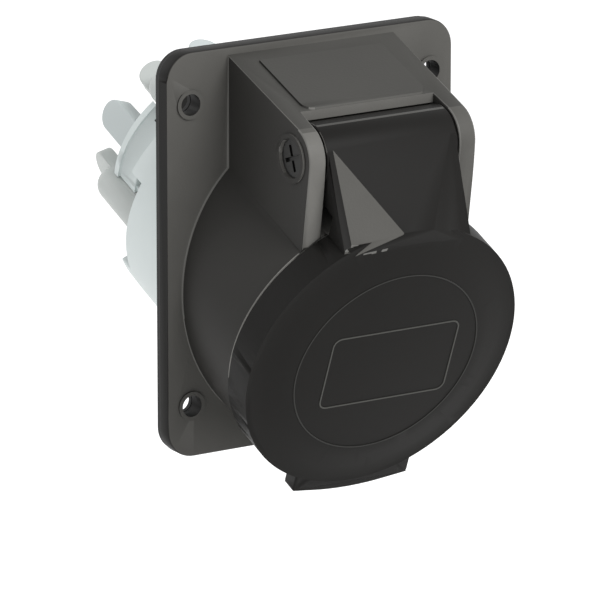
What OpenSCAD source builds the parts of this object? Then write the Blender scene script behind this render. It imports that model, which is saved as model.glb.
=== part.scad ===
// Inclined five-pole panel socket with a sprung hinged lid.
// +Z is up, the socket faces -Y, and the origin is the middle of the
// four panel screws on the panel's surface, which is the plane Y = 0.

/* [Flange] */
// Flange beside the tube, on each side
side_margin = 4.55; // [4:0.05:8]
// Flange below the tube
foot_margin = 4.7; // [3:0.1:8]
// Thickness of the flange
flange_t = 5; // [4:0.5:7]
// Radius of the flange corners
flange_corner_r = 8; // [4:0.5:12]
// Thickness of the gasket under the flange
gasket_t = 1.5; // [1:0.5:3]
// Panel screws, distance in from the flange's sides
screw_edge_x = 7.25; // [6.5:0.05:9]
// Panel screws, distance from top to bottom
screw_span_z = 85; // [84:0.5:100]
// Diameter of the panel screw holes
screw_hole_d = 6; // [4:0.5:6.5]
// Diameter of the raised ring round each screw hole
screw_ring_d = 8.2; // [7.8:0.2:11]

/* [Socket] */
// Tilt of the socket's axis below level
axis_tilt = 22; // [18:1:24]
// Height of the axis below the screws' middle, on the flange's face
axis_drop = 10.5; // [8:0.5:13]
// Outer radius of the inclined tube
tube_r = 41.2; // [41:0.1:43]
// Length of the tube along the axis, from the flange's face to the rim
tube_len = 28.5; // [26:0.5:32]
// Wall of the tube round the mouth
tube_wall = 4.2; // [3.6:0.1:4.8]
// Ring-shaped gap round the contact insert, for the plug's shroud
shroud_gap = 6.5; // [6:0.1:7]
// How far the insert's face lies behind the rim
insert_recess = 2.5; // [1:0.5:5]
// Depth of the ring-shaped gap round the insert
mouth_depth = 36; // [34:0.5:38]
// Width of the keyway in the mouth
keyway_w = 7; // [5:0.5:9]
// Depth of the keyway in the mouth's wall
keyway_depth = 1.8; // [1:0.1:2.2]

/* [Hinge box] */
// Width of the hinge box
box_w = 53; // [51:0.5:55]
// Slope of the roof
roof_tilt = 20; // [18:1:22]
// Thickness of each cheek
cheek_t = 5.3; // [4.5:0.1:6]
// Radius of the cheek's top corner, round the hinge
cheek_r = 9.2; // [8.8:0.1:9.6]
// Backward lean of the cheeks' front edges
cheek_lean = 9; // [5:1:12]
// Hinge pin, distance from the flange's face
hinge_out = 33.1; // [32:0.1:34]
// Hinge pin, height above the screws' middle
hinge_up = 33; // [32.5:0.1:33.4]
// Diameter of the hinge pin
pin_d = 5; // [4:0.5:6]
// Diameter of the pin's head
pin_head_d = 10.4; // [9:0.2:11]
// Outer diameter of the ring round the pin's head
boss_d = 13.6; // [13:0.2:15]
// Rise of the panel on the roof
roof_panel_rise = 0.6; // [0.4:0.1:1]

/* [Lid] */
// How far the lid reaches past the tube
lid_overhang = 0.9; // [0.6:0.1:2]
// Thickness of the lid at its edge
lid_edge_t = 9.9; // [9:0.1:12]
// Gap between the rim and the lid
lid_gap = 1; // [0.8:0.1:1.5]
// Radius of the raised middle of the lid
lid_middle_r = 28.8; // [26:0.2:32]
// Rise of the middle above the edge
lid_rise = 2.4; // [1:0.2:3]
// Wall of the lid
lid_wall = 2.4; // [2:0.1:3]
// Radius of the hinge barrel
barrel_r = 9; // [8.6:0.1:9.1]
// Gap beside the lid's arm, to each cheek
arm_gap = 0.5; // [0.4:0.1:1]
// Width of the grip at the lid's lower edge
grip_w = 37; // [30:1:44]
// How far the grip reaches past the lid's edge
grip_reach = 2.6; // [1.5:0.1:4]
// Thickness of the grip
grip_t = 5; // [4:0.5:7]

/* [Contacts] */
// Radius of the circle of contacts
contact_circle_r = 19.5; // [18.5:0.5:20.5]
// Bore of a phase or neutral contact
contact_bore_d = 6.1; // [5.9:0.1:6.3]
// Bore of the earth contact
earth_bore_d = 8.1; // [7.9:0.1:8.3]
// Wall of a contact sleeve
contact_wall = 1.2; // [1:0.1:1.4]
// Length of a contact sleeve
contact_len = 34; // [30:1:38]
// Thickness of the sheet of a terminal blade
blade_t = 1.2; // [0.8:0.1:1.6]

/* [Carrier] */
// Wall of the tube round the rear sleeve
rear_wall = 2.35; // [2.2:0.05:3]
// Wall of the rear sleeve
sleeve_wall = 2.5; // [2:0.1:2.7]
// Rear edge of the sleeve, behind the flange's face along the axis
sleeve_back = 36.5; // [34:0.5:38]
// Length of the teeth on the sleeve's rear edge
tooth_len = 6; // [4:0.5:6.5]
// Radius of the rear drum
drum_r = 28; // [27.5:0.1:28.5]
// Front face of the drum, behind the flange's face along the axis
drum_front = 51.5; // [51:0.5:52.5]
// Rear face of the drum, behind the flange's face along the axis
drum_back = 62; // [61.5:0.5:64]
// Radius of the core in front of the drum
core_r = 14; // [13:0.5:14.5]
// Ends of the guide fingers, behind the flange's face along the axis
finger_back = 77; // [74:0.5:80]
// Width of a guide finger
finger_w = 9; // [7:0.5:10]

/* [Levers] */
// Radius of a lever's round back
lever_back_r = 5; // [4.4:0.1:5.2]
// Width of a lever's paddle
paddle_w = 8.6; // [7:0.2:9]
// End of the paddle, behind the flange's face along the axis
paddle_back = 76; // [74:0.5:79]
// Pivot of a lever, behind the flange's face along the axis
pivot_back = 45.5; // [45:0.5:46.5]
// Pivot of a lever, distance from the axis
pivot_r = 26.5; // [26:0.5:27.5]
// Diameter of a lever's pivot stubs
pivot_d = 3; // [2.4:0.2:3.4]

/* [Hidden] */
$fn = 96;

black = [0.2, 0.2, 0.19];
rubber_black = [0.1, 0.1, 0.1];
pale = [0.8, 0.83, 0.83];
steel = [0.7, 0.71, 0.72];
brass = [0.78, 0.62, 0.3];

// Clearances and overlaps
overlap = 0.4;          // parts of one solid run into each other by this
sleeve_clear = 0.35;    // sleeve in the tube
pin_clear = 0.05;       // hinge pin in its bores
pivot_clear = 0.05;     // lever stubs in their bores
base_clear = 0.3;       // round plates in the sleeve
seat_clear = 0.02;      // parts that rest on each other
far = 200;

front = flange_t + gasket_t;
flange_w = 2 * (tube_r + side_margin);
flange_h = 2 * (axis_drop - front * tan(axis_tilt) + tube_r / cos(axis_tilt) + foot_margin);
screw_span_x = flange_w - 2 * screw_edge_x;
pole_step = 72;
first_pole = 54;
pole_angles = [for (i = [0:4]) first_pole + i * pole_step];
earth_pole = 3;

mouth_r = tube_r - tube_wall;
insert_r = mouth_r - shroud_gap;
lid_r = tube_r + lid_overhang;
tube_bore_r = tube_r - rear_wall;
sleeve_r = tube_bore_r - sleeve_clear;
ledge = 2;
sleeve_bore_r = sleeve_r - sleeve_wall;
mouth_floor = mouth_depth - tube_len;
insert_base_t = 4;
floor_t = 3;
floor_front = mouth_floor + insert_base_t;
floor_back = floor_front + floor_t;
floor_ledge = 2;
base_r = sleeve_bore_r - base_clear;
body_base_t = 3.5;
body_base_back = floor_back + body_base_t;

cheek_inner = box_w / 2 - cheek_t;
arm_inset = 0.6;
nose_top_w = 37.4;
nose_foot_w = 34.6;
pocket_r = barrel_r + 0.6;
roof_front = hinge_out - 4.2;
roof_panel_gap = 1.7;
roof_panel_r = 3;
arm_w = 2 * (cheek_inner - arm_gap) - 2 * arm_inset;
lid_back = tube_len + lid_gap;
lid_front = lid_back + lid_edge_t;
seal_mid_r = (mouth_r + tube_r) / 2;
seal_w = 2.6;
seal_depth = 3;
seal_squeeze = 0.25;

contact_front = tube_len - insert_recess - 3;
contact_back = contact_len - contact_front;
lever_w = 2 * lever_back_r;
ear_t = 2;
ear_gap = 0.4;
ear_back = drum_front + overlap;
ear_front = pivot_back - 5.5;
screw_circle_r = sleeve_bore_r - 6;
screw_angles = [90, 210, 330];
drum_rim = 0.8;
drum_rim_w = 2.2;
finger_t = 5;
finger_outer_r = drum_r - 0.4;
channel_w = lever_w + 0.8;
tooth_angle = 26;
tooth_shift = 24;
latch_angle = 26;
latch_shift = 1;
hook_angle = 18;
hook_clear = 0.3;
hook_len = 2;

screw_ring_rise = 0.5;
boss_rise = 0.6;
head_sink = 1.6;
head_clear = 0.3;
box_wall = 2.6;
roof_panel_back = 5;
skin = 0.1;             // keeps joined surfaces from lying in one face
gasket_inset = 0.3;
gasket_clear = 1.4;     // hole in the gasket, past the tube
hook_reach = 2;
latch_len = 2.3;        // latch arm past the teeth
skirt_len = 6;
latch_poles = [0, 1, 3];
pin_end = 0.7;
spring_r = 4.9;
spring_wire = 1.4;
spring_turns = 6;
spring_wrap = 140;
spring_leg = 7.2;
spring_leg_angle = 20;
spring_width = 14;
spring_slot_w = 18;
spring_slot_r = 6.6;
nose_w = 9;
nose_sink = [-1.2, -0.6];
bore_depth = 24;
slit_len = 14;
slit_w = 0.6;
blade_seat = 6;
blade_r = 23.5;
blade_back = 58;
blade_slot_w = 1.6;
blade_slot_deep = 4;
clip_t = 0.8;
clip_clear = 0.05;
contact_clear = 0.1;
screw_d = 3;
screw_head_t = 2.2;
screw_slot_w = 0.8;
screw_short = 1.2;
screw_room = 0.2;
seal_t = 0.9;
clip_len = 6;
clip_room = 1;
clip_back = 3;
grip_h = 20;
grip_corner_r = 3;
ear_rim = 3.2;
rib_t = 1.8;
rib_len = 7;
rib_space = 5.2;
rib_h = 5;
arm_wall = 3.2;
channel_floor_r = 18.6;
dish_r = 17;
dish_hub_r = 6;
dish_depth = 1.2;
lever_back_end = 63;

// A point given by its side, its distance out from the flange's face and its height
function place(side, out, up) = [side, -(front + out), up];

// The same, for a point given along and across the socket's axis
function on_axis(side, along, across) = place(side,
    along * cos(axis_tilt) + across * sin(axis_tilt),
    -axis_drop - along * sin(axis_tilt) + across * cos(axis_tilt));

function arc(cx, cy, r, from, to, steps) =
    [for (i = [0:steps]) let (a = from + (to - from) * i / steps) [cx + r * cos(a), cy + r * sin(a)]];

function rounded(w, h, r) = concat(
    arc(w / 2 - r, h / 2 - r, r, 0, 90, 12),
    arc(-w / 2 + r, h / 2 - r, r, 90, 180, 12),
    arc(-w / 2 + r, -h / 2 + r, r, 180, 270, 12),
    arc(w / 2 - r, -h / 2 + r, r, 270, 360, 12));

// Local Z is the socket's axis, outwards, and local Y is across it, upwards
module along_axis() {
    translate(place(0, 0, -axis_drop))
        rotate([90 + axis_tilt, 0, 0])
            children();
}

// A side profile, given out and up, swept from side to side
module side_sweep(width, points) {
    translate([-width / 2, -front, 0])
        rotate([90, 0, 90])
            linear_extrude(height = width)
                polygon([for (p = points) [-p[0], p[1]]]);
}

// The same with points given along and across the socket's axis
module axis_sweep(width, points) {
    side_sweep(width, [for (p = points) [
        p[0] * cos(axis_tilt) + p[1] * sin(axis_tilt),
        -axis_drop - p[0] * sin(axis_tilt) + p[1] * cos(axis_tilt)]]);
}

module disc(r, back, front_end) {
    translate([0, 0, back])
        cylinder(r = r, h = front_end - back);
}

module ring(outer, inner, back, front_end) {
    difference() {
        disc(outer, back, front_end);
        disc(inner, back - 1, front_end + 1);
    }
}

// A piece of a ring, between two angles
module sector_ring(outer, inner, back, front_end, middle, width) {
    translate([0, 0, back])
        rotate([0, 0, middle - width / 2])
            rotate_extrude(angle = width)
                translate([inner, 0])
                    square([outer - inner, front_end - back]);
}

module at_screws() {
    for (sx = [-1, 1], sz = [-1, 1])
        translate([sx * screw_span_x / 2, 0, sz * screw_span_z / 2])
            rotate([90, 0, 0])
                children();
}

// Local Z is the hinge's axis, towards the given side
module at_hinge(side) {
    translate(place(0, hinge_out, hinge_up))
        rotate([0, 90 * side, 0])
            children();
}

// Half space behind a plane parallel to the panel
module behind(y) {
    translate([-far, y, -far])
        cube([2 * far, far, 2 * far]);
}

// ---- Housing ----

// Height of the roof over a point out from the flange
function roof_at(out) = hinge_up + cheek_r / cos(roof_tilt) + (hinge_out - out) * tan(roof_tilt);

module flange_plate() {
    rotate([90, 0, 0])
        translate([0, 0, gasket_t])
            linear_extrude(height = flange_t)
                polygon(rounded(flange_w, flange_h, flange_corner_r));
    at_screws()
        translate([0, 0, front - overlap])
            cylinder(d = screw_ring_d, h = overlap + screw_ring_rise);
}

module box_outside() {
    foot_out = hinge_out + cheek_r / cos(cheek_lean) - hinge_up * tan(cheek_lean);
    intersection() {
        side_sweep(box_w, concat(
            [[-overlap, 0], [-overlap, roof_at(-overlap)]],
            arc(hinge_out, hinge_up, cheek_r, 90 - roof_tilt, -cheek_lean, 14),
            [[foot_out, 0]]));
        along_axis()
            disc(far, -far, tube_len - skin);
    }
}

// Room for the lid's barrel and arm, between the cheeks
module hinge_pocket() {
    side_sweep(2 * cheek_inner, [
        [roof_front, hinge_up], [roof_front, far], [far, far], [far, -far],
        [hinge_out - pocket_r + overlap, -far], [hinge_out - pocket_r + overlap, hinge_up]]);
    at_hinge(1)
        translate([0, 0, -cheek_inner])
            cylinder(r = pocket_r, h = 2 * cheek_inner);
}

// Hollow of the box, open at the back of the flange
module box_core() {
    deep = hinge_out - pocket_r - box_wall;
    low = -axis_drop + tube_r / cos(axis_tilt) + front * tan(axis_tilt) + overlap;
    side_sweep(box_w - 2 * box_wall, [
        [-far, low], [-far, roof_at(0) - box_wall], [0, roof_at(0) - box_wall],
        [deep, roof_at(deep) - box_wall], [deep, low]]);
}

// Raised panel on the roof, between the rails over the cheeks
module roof_panel() {
    half = cheek_inner - roof_panel_gap;
    r = roof_panel_r;
    intersection() {
        side_sweep(2 * half + 2, [
            [roof_panel_back, roof_at(roof_panel_back) - overlap],
            [roof_panel_back, roof_at(roof_panel_back) + roof_panel_rise],
            [roof_front - skin, roof_at(roof_front - skin) + roof_panel_rise],
            [roof_front - skin, roof_at(roof_front - skin) - overlap]]);
        translate([0, -front - roof_front + skin, 0])
            linear_extrude(height = far)
                polygon(concat(
                    [[half, roof_front], [-half, roof_front]],
                    arc(-half + r, r, r, 180, 270, 8), arc(half - r, r, r, 270, 360, 8)));
    }
}

// Arms that reach back over the rear sleeve; each hooks behind its edge, beside a tooth
module latches() {
    hook_front = -(sleeve_back + hook_clear);
    along_axis()
        for (i = latch_poles) {
            middle = pole_angles[i] + latch_shift;
            sector_ring(tube_r - skin, tube_bore_r + skin, -(sleeve_back + tooth_len + latch_len),
                ledge + overlap, middle, latch_angle);
            sector_ring(tube_r - 2 * skin, tube_bore_r - hook_reach, hook_front - hook_len, hook_front,
                middle, hook_angle);
        }
}

module housing() {
    color(black) {
        difference() {
            union() {
                flange_plate();
                difference() {
                    box_outside();
                    hinge_pocket();
                }
                roof_panel();
                difference() {
                    along_axis()
                        disc(tube_r, -tube_len - tube_r, tube_len);
                    behind(-gasket_t);
                }
                along_axis()
                    disc(tube_r, -skirt_len, tube_len);
                for (side = [-1, 1])
                    at_hinge(side)
                        translate([0, 0, box_w / 2 - overlap])
                            cylinder(d = boss_d, h = overlap + boss_rise);
            }
            along_axis() {
                disc(mouth_r, ledge - 1, tube_len + 1);
                disc(tube_bore_r, -far, ledge);
                rotate([0, 0, 270])
                    translate([0, -keyway_w / 2, ledge])
                        cube([mouth_r + keyway_depth, keyway_w, far]);
            }
            box_core();
            at_screws()
                cylinder(d = screw_hole_d, h = far);
            at_hinge(1)
                translate([0, 0, -far])
                    cylinder(r = pin_d / 2 + pin_clear, h = 2 * far);
            for (side = [-1, 1])
                at_hinge(side)
                    translate([0, 0, box_w / 2 - head_sink])
                        cylinder(d = pin_head_d + 2 * head_clear, h = far);
        }
        latches();
    }
}

module flange_gasket() {
    color(rubber_black)
        difference() {
            rotate([90, 0, 0])
                linear_extrude(height = gasket_t)
                    polygon(rounded(flange_w - 2 * gasket_inset, flange_h - 2 * gasket_inset,
                        flange_corner_r - gasket_inset));
            along_axis()
                disc(tube_r + gasket_clear, -far, far);
            at_screws()
                translate([0, 0, -1])
                    cylinder(d = screw_hole_d, h = far);
        }
}

// ---- Hinge ----

module hinge_pin() {
    color(steel)
        at_hinge(-1)
            difference() {
                union() {
                    translate([0, 0, box_w / 2 - head_sink])
                        cylinder(d = pin_head_d, h = head_sink - 0.3);
                    translate([0, 0, -box_w / 2 + head_sink - pin_end])
                        cylinder(d = pin_d, h = box_w - 2 * head_sink + pin_end + overlap);
                }
                for (turn = [20, 110])
                    rotate([0, 0, turn])
                        translate([-pin_head_d * 0.36, -0.6, box_w / 2 - 1.1])
                            cube([pin_head_d * 0.72, 1.2, 2]);
            }
}

module pin_cap() {
    color(black)
        at_hinge(1)
            difference() {
                translate([0, 0, box_w / 2 - head_sink + 0.05])
                    cylinder(d = pin_head_d, h = head_sink - 0.35);
                cylinder(r = pin_d / 2 + pin_clear, h = box_w / 2 - head_sink + pin_end + 0.05);
            }
}

// Path of the torsion spring round X: a straight leg, the turns and the other leg
spring_path = let (
        r = spring_r, turns = spring_turns, n = 16,
        a0 = spring_leg_angle, a1 = a0 + 360 * turns + spring_wrap,
        count = round(n * (turns + spring_wrap / 360)),
        coil = [for (i = [0:count]) let (a = a0 + (a1 - a0) * i / count)
            [spring_width * (i / count - 0.5), a, 0]])
    concat([[-spring_width / 2, a0, -spring_leg]], coil, [[spring_width / 2, a1, spring_leg]]);

function spring_point(p, section) = let (
        a = p[1],
        radial = [0, cos(a), sin(a)],
        tangent = [0, -sin(a), cos(a)],
        side = [1, 0, 0])
    side * p[0] + radial * spring_r + tangent * p[2]
        + (radial * cos(section) + side * sin(section)) * spring_wire / 2;

module lid_spring() {
    sides = 6;
    count = len(spring_path);
    points = [for (p = spring_path) for (k = [0:sides - 1]) spring_point(p, k * 360 / sides)];
    walls = [for (i = [0:count - 2]) for (k = [0:sides - 1]) let (m = (k + 1) % sides)
        [i * sides + k, i * sides + m, (i + 1) * sides + m, (i + 1) * sides + k]];
    near_end = [for (k = [0:sides - 1]) sides - 1 - k];
    far_end = [for (k = [0:sides - 1]) (count - 1) * sides + k];
    color(steel)
        translate(place(0, hinge_out, hinge_up))
            polyhedron(points, concat(walls, [near_end, far_end]));
}

// ---- Lid ----

// Side view point for a point along and across the socket's axis
function side_view(along, across) = [
    along * cos(axis_tilt) + across * sin(axis_tilt),
    -axis_drop - along * sin(axis_tilt) + across * cos(axis_tilt)];

arm_top = [hinge_out + barrel_r * cos(20), hinge_up + barrel_r * sin(20)];
arm_foot = side_view(lid_front, lid_r - 6);
nose_tip = side_view(lid_front + lid_rise + 0.4, lid_r + 1.4);

module lid_arm() {
    side_sweep(arm_w, [
        [hinge_out, hinge_up], arm_top, arm_foot,
        side_view(lid_front, lid_r - 9), side_view(lid_back + overlap, lid_r - 9),
        side_view(lid_back + overlap, lid_r + 1.1),
        [hinge_out - barrel_r * 0.55, hinge_up - barrel_r * 0.79]]);
}

// Folded bulge on the front of the arm: a tapering middle face between two slanting ones
module arm_nose() {
    sides = [-0.5, 0.5];
    top = arm_top + nose_sink;
    foot = arm_foot + nose_sink;
    corners = concat(
        [for (x = sides) place(x * nose_top_w, arm_top[0], arm_top[1])],
        [for (x = sides) place(x * nose_w, nose_tip[0], nose_tip[1])],
        [for (x = sides) place(x * nose_foot_w, arm_foot[0], arm_foot[1])],
        [for (x = sides) place(x * nose_top_w, top[0], top[1])],
        [for (x = sides) place(x * nose_foot_w, foot[0], foot[1])]);
    polyhedron(corners, [
        [0, 1, 3, 2], [0, 2, 4], [1, 5, 3], [2, 3, 5, 4],
        [0, 6, 7, 1], [6, 8, 9, 7], [4, 5, 9, 8], [0, 4, 8, 6], [1, 7, 9, 5]]);
}

module lid_grip() {
    low = lid_r + grip_reach;
    curve = 2 * lid_r;
    translate([0, 0, lid_front - grip_t])
        intersection() {
            linear_extrude(height = grip_t - skin)
                translate([0, grip_h / 2 - low])
                    polygon(rounded(grip_w, grip_h, grip_corner_r));
            translate([0, curve - low, -1])
                cylinder(r = curve, h = grip_t + 2);
        }
}

module lid() {
    cavity_r = seal_mid_r - seal_w / 2 - 1;
    color(black)
        difference() {
            union() {
                along_axis() {
                    disc(lid_r, lid_back, lid_front);
                    translate([0, 0, lid_front - skin])
                        cylinder(r1 = lid_r - 1.2, r2 = lid_middle_r, h = lid_rise + skin);
                    lid_grip();
                }
                at_hinge(1)
                    translate([0, 0, -cheek_inner + arm_gap])
                        cylinder(r = barrel_r, h = 2 * (cheek_inner - arm_gap));
                lid_arm();
                arm_nose();
            }
            along_axis() {
                disc(cavity_r, lid_back - 1, lid_front - lid_wall);
                translate([0, 0, lid_front - lid_wall - skin])
                    cylinder(r1 = cavity_r - 2, r2 = lid_middle_r - 1, h = lid_rise);
                ring(seal_mid_r + seal_w / 2, seal_mid_r - seal_w / 2, lid_back - 1, lid_back + seal_depth);
            }
            at_hinge(1)
                translate([0, 0, -far])
                    cylinder(r = pin_d / 2 + pin_clear, h = 2 * far);
            spring_slot();
        }
}

// Room for the spring, open at the back of the barrel and under the arm
module spring_slot() {
    at_hinge(1)
        translate([0, 0, -spring_slot_w / 2])
            cylinder(r = spring_slot_r, h = spring_slot_w);
    side_sweep(spring_slot_w, [
        [hinge_out, hinge_up + spring_slot_r - 1.2],
        [hinge_out - 2 * barrel_r, hinge_up + spring_slot_r - 1.2],
        [hinge_out - 2 * barrel_r, hinge_up - 2 * barrel_r], [hinge_out + 4, hinge_up - 2 * barrel_r],
        [hinge_out + spring_slot_r + 1.6, hinge_up - spring_slot_r + 0.4],
        [hinge_out + spring_slot_r - 0.4, hinge_up + 2]]);
    side_sweep(arm_w - 2 * arm_wall, [
        [hinge_out + 5.5, hinge_up - 7.5], arm_top + [-3.4, -8.5], side_view(lid_back + 0.8, lid_r + 2.6),
        side_view(lid_back - 3, lid_r + 0.6), [hinge_out + 4, hinge_up - 2 * barrel_r]]);
}

module lid_gasket() {
    color(rubber_black)
        along_axis()
            ring(seal_mid_r + seal_w / 2 - 0.05, seal_mid_r - seal_w / 2 + 0.05,
                tube_len + seal_squeeze, lid_back + seal_depth - 0.02);
}

// ---- Contacts ----

function bore_of(i) = i == earth_pole ? earth_bore_d : contact_bore_d;
function sleeve_outer(i) = bore_of(i) / 2 + contact_wall;

// Local X points away from the axis, and local Z is still the axis, outwards
module at_pole(i) {
    along_axis()
        rotate([0, 0, pole_angles[i]])
            children();
}

module contact(i) {
    outer = sleeve_outer(i);
    color(brass)
        at_pole(i)
            translate([contact_circle_r, 0, 0])
                difference() {
                    disc(outer, -contact_back, contact_front);
                    disc(bore_of(i) / 2, contact_front - bore_depth, contact_front + 1);
                    translate([-far / 2, -blade_t / 2 - 0.05, -contact_back - 1])
                        cube([far, blade_t + 0.1, blade_seat + 1]);
                    for (turn = [45, 135])
                        rotate([0, 0, turn])
                            translate([-far / 2, -slit_w / 2, contact_front - slit_len])
                                cube([far, slit_w, slit_len + 1]);
                }
}

// Sprung steel ring that holds the slit end of a contact closed
module contact_clip(i) {
    outer = sleeve_outer(i) + clip_clear;
    color(steel)
        at_pole(i)
            translate([contact_circle_r, 0, 0])
                difference() {
                    ring(outer + clip_t, outer, contact_front - clip_back - clip_len,
                        contact_front - clip_back);
                    translate([0, -clip_t / 2, contact_front - clip_back - clip_len - 1])
                        cube([far, clip_t, clip_len + 2]);
                }
}

// Flat blade with a slot across its outer edge that cuts into the wire's insulation
module blade(i) {
    low = core_r + 0.4;
    color(brass)
        at_pole(i)
            difference() {
                union() {
                    translate([low, -blade_t / 2, -blade_back])
                        cube([blade_r - low, blade_t, blade_back - floor_front]);
                    translate([contact_circle_r - contact_wall - 2.2, -blade_t / 2, -floor_front - overlap])
                        cube([2 * contact_wall + 4.4, blade_t,
                            overlap + floor_front - contact_back + blade_seat - contact_clear]);
                }
                translate([blade_r - blade_slot_deep, -1, -blade_back + 4])
                    cube([far, 2, blade_slot_w]);
            }
}

module blade_slots(back, front_end) {
    for (i = [0:4])
        at_pole(i)
            translate([core_r, -blade_t / 2 - 0.2, back])
                cube([blade_r + 0.4 - core_r, blade_t + 0.4, front_end - back]);
}

module contact_insert() {
    clip_front = contact_front - clip_back;
    color(black)
        difference() {
            along_axis()
                disc(insert_r, -mouth_floor + seat_clear, tube_len - insert_recess);
            for (i = [0:4])
                at_pole(i)
                    translate([contact_circle_r, 0, 0]) {
                        disc(sleeve_outer(i) + contact_clear, -far, far);
                        disc(sleeve_outer(i) + clip_clear + clip_t + contact_clear,
                            clip_front - clip_len - clip_room, clip_front + clip_room);
                    }
        }
}

// Plate that the insert stands on; it holds the back ends of the contacts
module insert_base() {
    color(black)
        difference() {
            along_axis()
                disc(base_r, -floor_front, -mouth_floor);
            for (i = [0:4])
                at_pole(i)
                    translate([contact_circle_r, 0, 0])
                        disc(sleeve_outer(i) + contact_clear, -far, far);
            blade_slots(-floor_front - 1, -mouth_floor + 1);
            at_carrier_screws()
                disc(screw_d / 2 + pin_clear, -far, far);
        }
}

// ---- Carrier ----

module at_carrier_screws() {
    along_axis()
        for (a = screw_angles)
            rotate([0, 0, a])
                translate([screw_circle_r, 0, 0])
                    children();
}

module rear_sleeve() {
    color(pale)
        along_axis() {
            ring(sleeve_r, sleeve_bore_r, -sleeve_back, ledge - seal_t - 2 * seat_clear);
            for (a = pole_angles)
                sector_ring(sleeve_r - skin, sleeve_bore_r + skin, -(sleeve_back + tooth_len),
                    -sleeve_back + overlap, a + tooth_shift, tooth_angle);
            ring(sleeve_bore_r + overlap, sleeve_bore_r - floor_ledge, -floor_back,
                -floor_front - seat_clear);
        }
}

module sleeve_seal() {
    color(rubber_black)
        along_axis()
            ring(sleeve_r - skin, mouth_r + skin, ledge - seal_t - seat_clear, ledge - seat_clear);
}

module carrier_screws() {
    color(steel)
        at_carrier_screws()
            difference() {
                union() {
                    disc(screw_d / 2, -body_base_back - overlap, -mouth_floor - screw_short);
                    disc(screw_d, -body_base_back - screw_head_t, -body_base_back - seat_clear);
                }
                translate([-screw_d, -screw_slot_w / 2, -body_base_back - screw_head_t - 1])
                    cube([2 * screw_d, screw_slot_w, 1 + screw_head_t / 2]);
            }
}

// A flat finger along the axis with a round end; it lies on a radius
module finger(inner, outer, width, back, front_end) {
    translate([inner, -width / 2, -back + width / 2])
        cube([outer - inner, width, back - width / 2 - front_end]);
    translate([inner, 0, -back + width / 2])
        rotate([0, 90, 0])
            cylinder(d = width, h = outer - inner);
}

module pivot_ears() {
    tall = pivot_r + ear_rim;
    for (side = [-1, 1])
        translate([0, side * (lever_w / 2 + ear_gap + ear_t / 2) - ear_t / 2, 0]) {
            translate([core_r - 2.5, 0, -ear_back])
                cube([pivot_r - core_r + 2.5, ear_t, ear_back - ear_front]);
            translate([pivot_r, 0, -pivot_back])
                rotate([-90, 0, 0])
                    cylinder(r = tall - pivot_r, h = ear_t);
        }
}

module terminal_body() {
    color(pale)
        difference() {
            union() {
                along_axis() {
                    disc(core_r, -drum_front - overlap, -body_base_back + overlap);
                    disc(base_r, -body_base_back, -floor_back - seat_clear);
                    disc(sleeve_bore_r - floor_ledge - base_clear, -floor_back - overlap,
                        -floor_front - seat_clear);
                    disc(drum_r, -drum_back, -drum_front);
                    disc(drum_r + drum_rim, -drum_back + skin, -drum_back + drum_rim_w);
                }
                for (i = [0:4]) {
                    at_pole(i)
                        pivot_ears();
                    along_axis()
                        rotate([0, 0, pole_angles[i] + pole_step / 2])
                            finger(finger_outer_r - finger_t, finger_outer_r, finger_w, finger_back,
                                drum_back - 1);
                }
            }
            for (i = [0:4])
                at_pole(i) {
                    translate([channel_floor_r, -channel_w / 2, -drum_back - 1])
                        cube([far, channel_w, drum_back - drum_front + 2]);
                    translate([core_r + 0.15, -blade_t / 2 - 0.2, -blade_back - 0.2])
                        cube([blade_r, blade_t + 0.4, far]);
                    translate([pivot_r, far / 2, -pivot_back])
                        rotate([90, 0, 0])
                            cylinder(r = pivot_d / 2 + pivot_clear, h = far);
                }
            along_axis()
                ring(dish_r, dish_hub_r, -drum_back - 1, -drum_back + dish_depth);
            at_carrier_screws()
                disc(screw_d / 2 + screw_room, -body_base_back - 1, 0);
        }
}

// ---- Levers ----

module lever(i) {
    flat = drum_r - 2.5;
    color(pale)
        at_pole(i)
            union() {
                difference() {
                    translate([drum_r, 0, 0]) {
                        disc(lever_back_r, -lever_back_end, -pivot_back + 1.5);
                        translate([0, 0, -lever_back_end])
                            sphere(r = lever_back_r);
                    }
                    translate([flat - far, -far / 2, -far])
                        cube([far, far, 2 * far]);
                }
                translate([pivot_r, lever_w / 2 - 0.2, -pivot_back])
                    rotate([90, 0, 0])
                        cylinder(r = 2.6, h = lever_w - 0.4);
                translate([pivot_r, lever_w / 2 + ear_gap + ear_t, -pivot_back])
                    rotate([90, 0, 0])
                        cylinder(d = pivot_d, h = lever_w + 2 * (ear_gap + ear_t));
                finger(flat - 2.2, flat + 2, paddle_w, paddle_back, blade_back + 0.6);
                for (side = [-1, 1])
                    translate([flat - rib_h + 0.5, side * rib_space / 2 - rib_t / 2,
                        -lever_back_end + rib_len - 1])
                        cube([rib_h, rib_t, rib_len]);
            }
}

housing();
flange_gasket();
lid();
lid_gasket();
hinge_pin();
pin_cap();
lid_spring();
contact_insert();
insert_base();
rear_sleeve();
sleeve_seal();
terminal_body();
carrier_screws();
for (i = [0:4]) {
    contact(i);
    contact_clip(i);
    blade(i);
    lever(i);
}
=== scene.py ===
"""Inclined panel socket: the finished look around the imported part."""

import math

import bmesh
import bpy
from mathutils import Matrix, Vector


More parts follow.
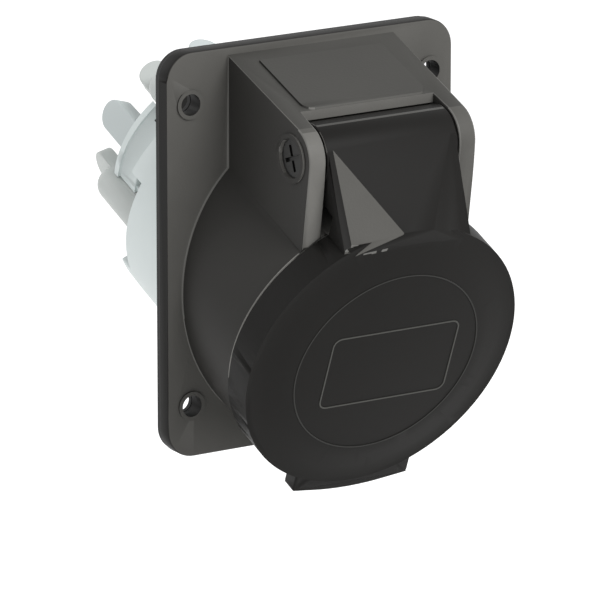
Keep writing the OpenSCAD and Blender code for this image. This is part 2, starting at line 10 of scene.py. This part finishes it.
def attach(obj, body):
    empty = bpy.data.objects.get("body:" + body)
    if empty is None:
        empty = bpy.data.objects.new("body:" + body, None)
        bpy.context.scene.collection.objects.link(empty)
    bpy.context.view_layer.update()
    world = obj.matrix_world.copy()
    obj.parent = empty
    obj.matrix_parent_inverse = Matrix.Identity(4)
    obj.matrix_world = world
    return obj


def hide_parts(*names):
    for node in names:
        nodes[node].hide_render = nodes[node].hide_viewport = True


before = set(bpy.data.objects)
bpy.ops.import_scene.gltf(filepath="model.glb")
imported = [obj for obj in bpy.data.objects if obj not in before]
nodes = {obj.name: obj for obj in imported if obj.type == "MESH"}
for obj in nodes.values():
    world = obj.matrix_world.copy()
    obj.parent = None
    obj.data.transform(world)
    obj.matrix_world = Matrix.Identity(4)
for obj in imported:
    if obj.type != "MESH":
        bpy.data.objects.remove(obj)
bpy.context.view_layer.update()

MM = 0.001
POLES = (1, 2, 3, 4, 5)

# The socket's own axis: it starts on the flange's face and leans down from -Y
TILT = math.radians(22.0)
FACE_Y = -6.5 * MM
AXIS_DROP = 10.5 * MM
OUTWARD = Vector((0.0, -math.cos(TILT), -math.sin(TILT)))
ACROSS = Vector((0.0, -math.sin(TILT), math.cos(TILT)))
AXIS_START = Vector((0.0, FACE_Y, -AXIS_DROP))


def along(point):
    """How far out a point lies along the socket's axis."""
    return (point - AXIS_START).dot(OUTWARD)


def from_axis(point):
    """How far a point lies from the socket's axis."""
    arm = point - AXIS_START
    return (arm - arm.dot(OUTWARD) * OUTWARD).length


def deselect():
    bpy.ops.object.select_all(action="DESELECT")


# ---- Camera, lights and floor ----

VIEW_AZIMUTH = math.radians(-31.5)
VIEW_ELEVATION = math.radians(15.4)
VIEW_TARGET = Vector((-4.98, -8.83, -16.65)) * MM
VIEW_WIDTH = 165.3 * MM
SENSOR = 36.0
LENS = 400.0
FARTHEST_SEEN = 50.0

WHITE = (1.0, 1.0, 1.0, 1.0)
SOFT_LIGHT = 0.62
FLOOR_SIZE = 6.0
FLOOR_HEIGHT = -0.16
FLOOR_COLOUR = (0.9, 0.9, 0.9, 1.0)
FLOOR_GLOW = 0.4


def add_camera():
    towards = Vector((
        math.cos(VIEW_ELEVATION) * math.sin(VIEW_AZIMUTH),
        -math.cos(VIEW_ELEVATION) * math.cos(VIEW_AZIMUTH),
        math.sin(VIEW_ELEVATION)))
    distance = VIEW_WIDTH * LENS / SENSOR
    bpy.ops.object.camera_add(location=VIEW_TARGET + towards * distance)
    camera = bpy.context.object
    camera.rotation_euler = towards.to_track_quat("Z", "Y").to_euler()
    camera.data.lens = LENS
    camera.data.sensor_width = SENSOR
    camera.data.clip_end = FARTHEST_SEEN
    bpy.context.scene.camera = camera


def add_area_light(name, place, size, power):
    """A square soft light that points at the middle of the object."""
    bpy.ops.object.light_add(type="AREA", location=place)
    light = bpy.context.object
    light.name = name
    light.rotation_euler = Vector(place).to_track_quat("Z", "Y").to_euler()
    light.data.size = size
    light.data.energy = power


def seen_directly(tree):
    """One for the camera's rays and for those that a glossy or a clear surface sends on, else nought."""
    rays = tree.nodes.new("ShaderNodeLightPath")
    either = tree.nodes.new("ShaderNodeMath")
    either.operation = "MAXIMUM"
    either_too = tree.nodes.new("ShaderNodeMath")
    either_too.operation = "MAXIMUM"
    tree.links.new(rays.outputs["Is Camera Ray"], either.inputs[0])
    tree.links.new(rays.outputs["Is Glossy Ray"], either.inputs[1])
    tree.links.new(either.outputs[0], either_too.inputs[0])
    tree.links.new(rays.outputs["Is Transmission Ray"], either_too.inputs[1])
    return either_too.outputs[0]


def add_world():
    """White to the camera and in reflections, and a plain soft level of light for the rest."""
    world = bpy.data.worlds.new("studio")
    bpy.context.scene.world = world
    world.use_nodes = True
    tree = world.node_tree
    tree.nodes.clear()
    out = tree.nodes.new("ShaderNodeOutputWorld")
    mix = tree.nodes.new("ShaderNodeMixShader")
    soft = tree.nodes.new("ShaderNodeBackground")
    seen = tree.nodes.new("ShaderNodeBackground")
    soft.inputs["Color"].default_value = WHITE
    soft.inputs["Strength"].default_value = SOFT_LIGHT
    seen.inputs["Color"].default_value = WHITE
    seen.inputs["Strength"].default_value = 1.0
    tree.links.new(seen_directly(tree), mix.inputs["Fac"])
    tree.links.new(soft.outputs[0], mix.inputs[1])
    tree.links.new(seen.outputs[0], mix.inputs[2])
    tree.links.new(mix.outputs[0], out.inputs["Surface"])


def add_floor():
    """A pale floor that looks white where no shadow falls on it."""
    deselect()
    bpy.ops.mesh.primitive_plane_add(size=FLOOR_SIZE, location=(0.0, 0.0, FLOOR_HEIGHT))
    floor = bpy.context.object
    floor.name = "floor"
    material = bpy.data.materials.new("pale_floor")
    material.use_nodes = True
    tree = material.node_tree
    shader = tree.nodes["Principled BSDF"]
    shader.inputs["Base Color"].default_value = FLOOR_COLOUR
    shader.inputs["Roughness"].default_value = 0.9
    shader.inputs["Emission Color"].default_value = WHITE
    glow = tree.nodes.new("ShaderNodeMath")
    glow.operation = "MULTIPLY"
    glow.inputs[1].default_value = FLOOR_GLOW
    tree.links.new(seen_directly(tree), glow.inputs[0])
    tree.links.new(glow.outputs[0], shader.inputs["Emission Strength"])
    floor.data.materials.append(material)


bpy.context.scene.view_settings.view_transform = "Standard"
add_camera()
add_world()
add_floor()
add_area_light("key_light", place=(0.35, -1.0, 0.8), size=0.7, power=13.0)
add_area_light("back_light", place=(-0.6, 0.9, 0.6), size=0.8, power=3.0)


# ---- Materials ----

BLACK_GRAIN = 1500.0
PALE_GRAIN = 1200.0
RUBBER_GRAIN = 1800.0
METAL_GRAIN = 900.0
GRAIN_DEPTH = 0.1 * MM
CLOUD_SCALE = 45.0
ROUGHNESS_SPREAD = 0.06


def moulded_plastic(name, colour, roughness, bump, specular, mottle=0.12, grain=BLACK_GRAIN):
    """Moulded plastic: fine grain, faint cloudiness in colour and a roughness that varies a little."""
    material = bpy.data.materials.new(name)
    material.use_nodes = True
    tree = material.node_tree
    shader = tree.nodes["Principled BSDF"]
    place = tree.nodes.new("ShaderNodeTexCoord")
    fine = tree.nodes.new("ShaderNodeTexNoise")
    fine.inputs["Scale"].default_value = grain
    fine.inputs["Detail"].default_value = 3.0
    cloud = tree.nodes.new("ShaderNodeTexNoise")
    cloud.inputs["Scale"].default_value = CLOUD_SCALE
    cloud.inputs["Detail"].default_value = 4.0
    for noise in (fine, cloud):
        tree.links.new(place.outputs["Object"], noise.inputs["Vector"])
    tint = tree.nodes.new("ShaderNodeMix")
    tint.data_type = "RGBA"
    low = [part * (1.0 - mottle) for part in colour]
    high = [min(1.0, part * (1.0 + mottle)) for part in colour]
    tint.inputs["A"].default_value = (*low, 1.0)
    tint.inputs["B"].default_value = (*high, 1.0)
    tree.links.new(cloud.outputs["Fac"], tint.inputs["Factor"])
    tree.links.new(tint.outputs["Result"], shader.inputs["Base Color"])
    rough = tree.nodes.new("ShaderNodeMapRange")
    rough.inputs["To Min"].default_value = roughness - ROUGHNESS_SPREAD
    rough.inputs["To Max"].default_value = roughness + ROUGHNESS_SPREAD
    tree.links.new(cloud.outputs["Fac"], rough.inputs["Value"])
    tree.links.new(rough.outputs["Result"], shader.inputs["Roughness"])
    relief = tree.nodes.new("ShaderNodeBump")
    relief.inputs["Strength"].default_value = bump
    relief.inputs["Distance"].default_value = GRAIN_DEPTH
    tree.links.new(fine.outputs["Fac"], relief.inputs["Height"])
    tree.links.new(relief.outputs["Normal"], shader.inputs["Normal"])
    shader.inputs["Specular IOR Level"].default_value = specular
    return material


def bare_metal(name, colour, roughness):
    material = moulded_plastic(
        name, colour, roughness, bump=0.15, specular=0.5, mottle=0.08, grain=METAL_GRAIN)
    material.node_tree.nodes["Principled BSDF"].inputs["Metallic"].default_value = 1.0
    return material


# Black polyamide: the plain kinds, the grained ones, then those of painted light and painted highlights
# on fronts, edges and rims, and of raised lines
housing_black = moulded_plastic("housing_black", (0.030, 0.029, 0.027), 0.5, bump=0.25, specular=0.15)
lid_black = moulded_plastic("lid_black", (0.0115, 0.011, 0.0103), 0.45, bump=0.2, specular=0.07)
insert_black = moulded_plastic("insert_black", (0.03, 0.03, 0.03), 0.5, bump=0.2, specular=0.3)
# The grain is real; the lighter colour that this kind gives to faces turned to the front and up is
# painted light
grained_lit_black = moulded_plastic(
    "grained_lit_black", (0.082, 0.080, 0.074), 0.6, bump=0.35, specular=0.2, mottle=0.16)
roof_black = moulded_plastic(
    "roof_black", (0.050, 0.049, 0.045), 0.55, bump=0.35, specular=0.2, mottle=0.16)
# Painted light on the front of the left cheek, which is lighter than the right cheek's front
lit_front_black = moulded_plastic(
    "lit_front_black", (0.135, 0.132, 0.123), 0.55, bump=0.35, specular=0.2, mottle=0.14)
sheen_black = moulded_plastic("sheen_black", (0.058, 0.057, 0.053), 0.4, bump=0.2, specular=0.2)
# Painted highlights on rounded edges
edge_highlight_black = moulded_plastic("edge_highlight_black", (0.12, 0.118, 0.11), 0.4, bump=0.2, specular=0.3)
# Painted highlight along the tube's rounded rim
rim_highlight_black = moulded_plastic("rim_highlight_black", (0.22, 0.215, 0.20), 0.45, bump=0.2, specular=0.3)
line_black = moulded_plastic("line_black", (0.055, 0.055, 0.05), 0.4, bump=0.2, specular=0.2)
ring_black = moulded_plastic("ring_black", (0.026, 0.026, 0.024), 0.4, bump=0.2, specular=0.15)

# Pale polyamide of the carrier behind the flange
carrier_pale = moulded_plastic(
    "carrier_pale", (0.70, 0.76, 0.755), 0.45, bump=0.15, specular=0.3, mottle=0.04, grain=PALE_GRAIN)
finger_pale = moulded_plastic(
    "finger_pale", (0.56, 0.61, 0.61), 0.45, bump=0.15, specular=0.3, mottle=0.04, grain=PALE_GRAIN)
lever_pale = moulded_plastic(
    "lever_pale", (0.55, 0.58, 0.565), 0.42, bump=0.15, specular=0.3, mottle=0.05, grain=PALE_GRAIN)

seal_rubber = moulded_plastic(
    "seal_rubber", (0.02, 0.02, 0.02), 0.7, bump=0.3, specular=0.3, grain=RUBBER_GRAIN)
steel = bare_metal("zinc_steel", (0.55, 0.55, 0.54), 0.35)
dark_steel = bare_metal("dark_steel", (0.045, 0.045, 0.044), 0.4)
brass = bare_metal("contact_brass", (0.66, 0.40, 0.22), 0.3)


# ---- Which edges are rounded ----

SHARP = math.radians(28.0)
STRAIGHT_ON = math.radians(150.0)
SLANTED = math.radians(28.0)
# Room that the rounding needs beside an edge, as a share of its width
ROOM = 1.1
SIDE_ROOM = 1.2
SHARED_ROOM = 2.2
# A face with more corners than this and narrower than this, for its length, is a thin ring
RING_CORNERS = 40
THIN_RING = 1.0 * MM
# The drum's rear face has more corners than this, and its edges stay sharp
DRUM_FACE_CORNERS = 60
ANY_CORNERS = 1000
END_SHARE = 0.02
NO_DEPTH = 0.001 * MM
NO_LENGTH = 0.0001 * MM


def is_narrow(loop, reach):
    """True where a face's far side, or a corner of it, lies within reach of one of its edges."""
    start = loop.vert.co
    run = loop.link_loop_next.vert.co - start
    length = run.length
    middle = 0.5 * length
    run.normalize()
    inward = loop.face.normal.cross(run)
    spots = []
    for corner in loop.face.loops:
        arm = corner.vert.co - start
        spots.append((arm.dot(run), arm.dot(inward)))
    for (here, depth), (there, far_depth) in zip(spots, spots[1:] + spots[:1]):
        beside = END_SHARE * length < here < (1.0 - END_SHARE) * length
        if beside and NO_DEPTH < depth < reach:
            return True
        if (here - middle) * (there - middle) < 0.0:
            crossing = depth + (far_depth - depth) * (middle - here) / (there - here)
            if NO_DEPTH < crossing < reach:
                return True
    return False


def is_thin_ring(face):
    return len(face.loops) > RING_CORNERS and face.calc_area() < THIN_RING * face.calc_perimeter()


def end_has_room(arm, end, side, sharp, width):
    """True where a side that meets an edge at its end leaves the rounding enough of itself."""
    reach = side.other_vert(end).co - end.co
    if reach.length < NO_LENGTH:
        return False
    turn = arm.angle(reach)
    if side in sharp and turn > STRAIGHT_ON:
        return True
    if turn < SLANTED or turn > math.pi - SLANTED and side not in sharp:
        return False
    share = SHARED_ROOM if side in sharp else SIDE_ROOM
    return reach.length * math.sin(turn) >= ROOM * width * share


def has_room(edge, sharp, width):
    """True where the faces beside an edge are wide enough to be cut back by the rounding."""
    if any(is_narrow(loop, 2.0 * ROOM * width) for loop in edge.link_loops):
        return False
    if any(is_thin_ring(face) for face in edge.link_faces):
        return False
    for end in edge.verts:
        arm = (edge.other_vert(end).co - end.co).normalized()
        for face in edge.link_faces:
            for side in face.edges:
                if side is edge or end not in side.verts:
                    continue
                if not end_has_room(arm, end, side, sharp, width):
                    return False
    return True


def mark_edges(piece, width, most_corners):
    """Gives a bevel weight to each sharp edge that can be rounded by the width."""
    shape = bmesh.new()
    shape.from_mesh(piece.data)
    weight = shape.edges.layers.float.new("bevel_weight_edge")
    sharp = {edge for edge in shape.edges
             if len(edge.link_faces) == 2 and edge.calc_face_angle(0.0) > SHARP}
    for edge in sharp:
        simple = all(len(face.loops) <= most_corners for face in edge.link_faces)
        if simple and has_room(edge, sharp, width):
            edge[weight] = 1.0
    shape.to_mesh(piece.data)
    shape.free()


# ---- Rounded mouldings from the frame's solids ----

SAME_POINT = 0.002 * MM
TINY_EDGE = 0.005 * MM
FLAT = math.radians(0.04)
EDGE_SEGMENTS = 3
SMOOTH_BELOW = math.radians(30.0)


def loose_copy(node, name):
    """A copy of a solid with a mesh of its own, the only thing selected."""
    deselect()
    source = nodes[node]
    piece = source.copy()
    piece.data = source.data.copy()
    piece.name = name
    for key in list(piece.keys()):
        del piece[key]
    piece.parent = None
    bpy.context.scene.collection.objects.link(piece)
    piece.select_set(True)
    bpy.context.view_layer.objects.active = piece
    return piece


def merge_flat_faces():
    """Joins the active piece's loose triangles and turns each flat patch into one face."""
    bpy.ops.object.mode_set(mode="EDIT")
    bpy.ops.mesh.select_all(action="SELECT")
    bpy.ops.mesh.remove_doubles(threshold=SAME_POINT)
    bpy.ops.mesh.dissolve_limited(angle_limit=FLAT)
    bpy.ops.mesh.dissolve_degenerate(threshold=TINY_EDGE)
    bpy.ops.object.mode_set(mode="OBJECT")


def rounded_copy(node, width, materials, body, finish=None, most_corners=ANY_CORNERS):
    """Stands in for a solid, with its edges rounded as a moulding leaves the tool.

    finish(middle, normal, rounded) gives a face's place in the list of materials. The bevel gives its
    own faces one place more, which is how they are told from the rest.
    """
    piece = loose_copy(node, f"{node}_moulding")
    merge_flat_faces()
    piece.data.materials.clear()
    for material in materials:
        piece.data.materials.append(material)
    rounded_mark = len(materials)
    piece.data.materials.append(materials[0])
    for face in piece.data.polygons:
        face.material_index = 0
    mark_edges(piece, width, most_corners)
    bevel = piece.modifiers.new("edge_round", "BEVEL")
    bevel.width = width
    bevel.segments = EDGE_SEGMENTS
    bevel.limit_method = "WEIGHT"
    bevel.use_clamp_overlap = False
    bevel.material = rounded_mark
    bpy.ops.object.modifier_apply(modifier=bevel.name)
    for face in piece.data.polygons:
        rounded = face.material_index == rounded_mark
        face.material_index = finish(face.center, face.normal, rounded) if finish else 0
    piece.data.materials.pop(index=rounded_mark)
    bpy.ops.object.shade_smooth_by_angle(angle=SMOOTH_BELOW)
    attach(piece, body)
    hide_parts(node)


# ---- Finishes of the housing, the lid and the terminal body ----

# Places in the housing's and the lid's lists of materials
PLAIN, GRAINED_LIT, EDGE_HIGHLIGHT, ROOF_PANEL, LIT_FRONT, SHEEN, SHADED_SIDE, RIM_HIGHLIGHT = range(8)
HOUSING_BLACKS = [
    housing_black, grained_lit_black, edge_highlight_black, roof_black, lit_front_black, sheen_black, lid_black, rim_highlight_black]
LID_BLACKS = [lid_black] + HOUSING_BLACKS[1:]

# The tube's rim, out along the axis and away from it
RIM_START = 26.0 * MM
RIM_INSIDE = 38.0 * MM
RIM_OUTSIDE = 43.0 * MM
# The hinge box stands out past BOX_OUT and above BOX_FOOT
BOX_OUT = -13.0 * MM
BOX_FOOT = 12.0 * MM
ROOF_FOOT = 36.0 * MM
ROOF_PANEL_HALF = 19.5 * MM
# The flange's front face, inside its rounded outer edge
FLANGE_EDGE_DEPTH = 1.2 * MM
FLANGE_SIDE_DEPTH = 0.2 * MM
FLANGE_HALF = 44.0 * MM
FLANGE_LOW = -51.0 * MM
FLANGE_HIGH = 50.0 * MM
SCREW_X = 38.5 * MM
SCREW_Z = 42.5 * MM
SCREW_RING = 5.0 * MM
# The lid's bulge and barrel
LID_BACK = 30.0 * MM
BULGE_EDGE_FOOT = 8.5 * MM
BULGE_EDGE_SIDE = -8.0 * MM
BULGE_FOOT = 4.0 * MM
BULGE_OUT = -43.0 * MM
BARREL_TOP = 39.0 * MM
BARREL_LINE = (0.93, 0.965)
# The drum ends and the fingers begin here, along the axis
FINGERS_START = -62.2 * MM
# How far a face turns one way, as a part of its normal
BARELY_OUT = 0.1
BARELY = 0.15
SLIGHTLY = 0.2
CLEARLY = 0.3
HALF = 0.5
PARTLY_FRONT = 0.55
SIDEWAYS = 0.6
UP = 0.75
STRAIGHT_LEFT = -0.75
FRONT = 0.8
NEARLY_FRONT = 0.95


def from_screw(point):
    """How far a point lies from the middle of the nearest screw hole, seen from the front."""
    return math.hypot(abs(point.x) - SCREW_X, abs(point.z) - SCREW_Z)


def is_near_rim(point):
    return along(point) > RIM_START and RIM_INSIDE < from_axis(point) < RIM_OUTSIDE


def is_on_box(point):
    return point.y < BOX_OUT and point.z > BOX_FOOT


def housing_edge_finish(middle, normal):
    """A painted highlight on the rounded edges of the tube's rim, the hinge box, the screw holes and the
    flange's face where it turns to the left, and nothing elsewhere.
    """
    if is_near_rim(middle):
        return RIM_HIGHLIGHT
    if is_on_box(middle) and normal.x > STRAIGHT_LEFT:
        return EDGE_HIGHLIGHT
    if middle.y > FACE_Y - FLANGE_EDGE_DEPTH:
        if from_screw(middle) < SCREW_RING and -normal.y > BARELY:
            return EDGE_HIGHLIGHT
        inside = abs(middle.x) < FLANGE_HALF and FLANGE_LOW < middle.z < FLANGE_HIGH
        if inside and SLIGHTLY < -normal.y < NEARLY_FRONT and -normal.x > SLIGHTLY:
            return EDGE_HIGHLIGHT
    return None


def housing_finish(middle, normal, rounded):
    """Grained on the front of the flange, the cheeks and the roof, in a lighter colour that is painted
    light; painted light on the left cheek's front, painted highlights on rounded edges and painted shade
    on the flange's sides.
    """
    edge = housing_edge_finish(middle, normal) if rounded else None
    if edge is not None:
        return edge
    # Painted shade: the flange's sides, and what turns sideways behind its face, take the darker lid
    # black
    if middle.y > FACE_Y - FLANGE_SIDE_DEPTH and abs(normal.y) < SIDEWAYS:
        return SHADED_SIDE
    on_roof = normal.z > UP and middle.z > ROOF_FOOT
    if is_on_box(middle):
        level = abs(normal.x) < HALF
        if level and -normal.y > PARTLY_FRONT:
            # Painted light: only the left cheek's front takes the lighter kind
            return LIT_FRONT if middle.x < 0.0 else GRAINED_LIT
        if on_roof and abs(middle.x) < ROOF_PANEL_HALF:
            return ROOF_PANEL
        if level and normal.z - normal.y > HALF:
            return GRAINED_LIT
    # Painted light: faces turned to the front or up take the lighter grained kind
    if on_roof or -normal.y > FRONT and not is_near_rim(middle):
        return GRAINED_LIT
    return PLAIN


def lid_finish(middle, normal, rounded):
    """Plain, with the bulge's left flank grained and painted lighter, painted highlights on its edges and
    a painted highlight along the barrel.
    """
    facing = normal.dot(OUTWARD)
    on_bulge_edge = middle.z > BULGE_EDGE_FOOT and along(middle) > LID_BACK and facing > BARELY_OUT
    if rounded and on_bulge_edge and normal.y < CLEARLY and middle.x < BULGE_EDGE_SIDE:
        return EDGE_HIGHLIGHT
    if middle.z > BULGE_FOOT and middle.y < BULGE_OUT and -normal.x > CLEARLY and facing > BARELY:
        return GRAINED_LIT
    # Painted highlight: a narrow strip of the barrel turned up and forward takes the sheen kind
    if middle.z > BARREL_TOP and BARREL_LINE[0] < normal.z < BARREL_LINE[1] and normal.y < 0.0:
        return SHEEN
    return PLAIN


def terminal_finish(middle, _normal, _rounded):
    """The second, darker pale on the fingers."""
    return 1 if along(middle) < FINGERS_START else 0


rounded_copy("housing", 0.5 * MM, HOUSING_BLACKS, "socket", housing_finish)
rounded_copy("lid", 0.45 * MM, LID_BLACKS, "lid", lid_finish)
rounded_copy("rear_sleeve", 0.4 * MM, [carrier_pale], "socket")
rounded_copy("terminal_body", 0.4 * MM, [carrier_pale, finger_pale], "socket",
             terminal_finish, DRUM_FACE_CORNERS)
for pole in POLES:
    rounded_copy(f"lever_{pole}", 0.5 * MM, [lever_pale], f"lever_{pole}")


# ---- Finishes of the pieces that keep the frame's own shape ----

def dress(names, material):
    """Gives one material to each of the named pieces."""
    for name in names:
        nodes[name].data.materials.clear()
        nodes[name].data.materials.append(material)


dress(["contact_insert", "insert_base", "pin_cap"], insert_black)
dress(["flange_gasket", "lid_gasket", "sleeve_seal"], seal_rubber)
dress(["lid_spring", "carrier_screws"] + [f"contact_clip_{pole}" for pole in POLES], steel)
dress(["hinge_pin"], dark_steel)
dress([f"contact_{pole}" for pole in POLES] + [f"blade_{pole}" for pole in POLES], brass)


# ---- Raised lines on the lid's face ----

LID_FACE = 41.8 * MM
LINE_SINK = 0.1 * MM
LINE_RISE = 0.16 * MM
LABEL_SIZE = (40.4 * MM, 23.5 * MM, 1.0)
LABEL_PLACE = (1.4 * MM, -1.2 * MM, 0.0)
LABEL_CORNER = 2.6 * MM
LABEL_LINE = 0.4 * MM
RING_RADIUS = 28.7 * MM
RING_LINE = 0.35 * MM


def stand_on_lid(piece):
    """Turns a flat outline drawn round the origin on to the lid's face, with its place in its mesh."""
    side = Vector((1.0, 0.0, 0.0))
    turn = Matrix((side, ACROSS, OUTWARD)).transposed().to_4x4()
    turn.translation = AXIS_START + OUTWARD * (LID_FACE - LINE_SINK)
    piece.data.transform(turn)


def raise_line(piece, name, width, material):
    """Keeps a strip of the given width along a flat outline, raises it and stands it on the lid."""
    piece.name = name
    bpy.ops.object.mode_set(mode="EDIT")
    bpy.ops.mesh.select_mode(type="FACE")
    bpy.ops.mesh.select_all(action="SELECT")
    bpy.ops.mesh.inset(thickness=width, depth=0.0, use_boundary=True)
    bpy.ops.mesh.delete(type="FACE")
    bpy.ops.mesh.select_all(action="SELECT")
    bpy.ops.mesh.extrude_region_move(TRANSFORM_OT_translate={"value": (0.0, 0.0, LINE_SINK + LINE_RISE)})
    bpy.ops.mesh.select_all(action="SELECT")
    bpy.ops.mesh.normals_make_consistent(inside=False)
    bpy.ops.object.mode_set(mode="OBJECT")
    stand_on_lid(piece)
    bpy.ops.object.shade_smooth_by_angle(angle=SMOOTH_BELOW)
    piece.data.materials.append(material)
    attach(piece, "lid")


def add_label_frame():
    """The rounded frame in the middle of the lid, bare inside."""
    deselect()
    bpy.ops.mesh.primitive_plane_add(size=1.0)
    label_frame = bpy.context.object
    bpy.ops.object.mode_set(mode="EDIT")
    bpy.ops.mesh.select_all(action="SELECT")
    bpy.ops.transform.resize(value=LABEL_SIZE)
    bpy.ops.transform.translate(value=LABEL_PLACE)
    bpy.ops.mesh.bevel(offset=LABEL_CORNER, segments=6, affect="VERTICES")
    bpy.ops.object.mode_set(mode="OBJECT")
    raise_line(label_frame, "label_frame", LABEL_LINE, line_black)


def add_middle_ring():
    """The fine ring round the lid's raised middle."""
    deselect()
    bpy.ops.mesh.primitive_circle_add(vertices=128, radius=RING_RADIUS, fill_type="NGON")
    raise_line(bpy.context.object, "middle_ring", RING_LINE, ring_black)


add_label_frame()
add_middle_ring()
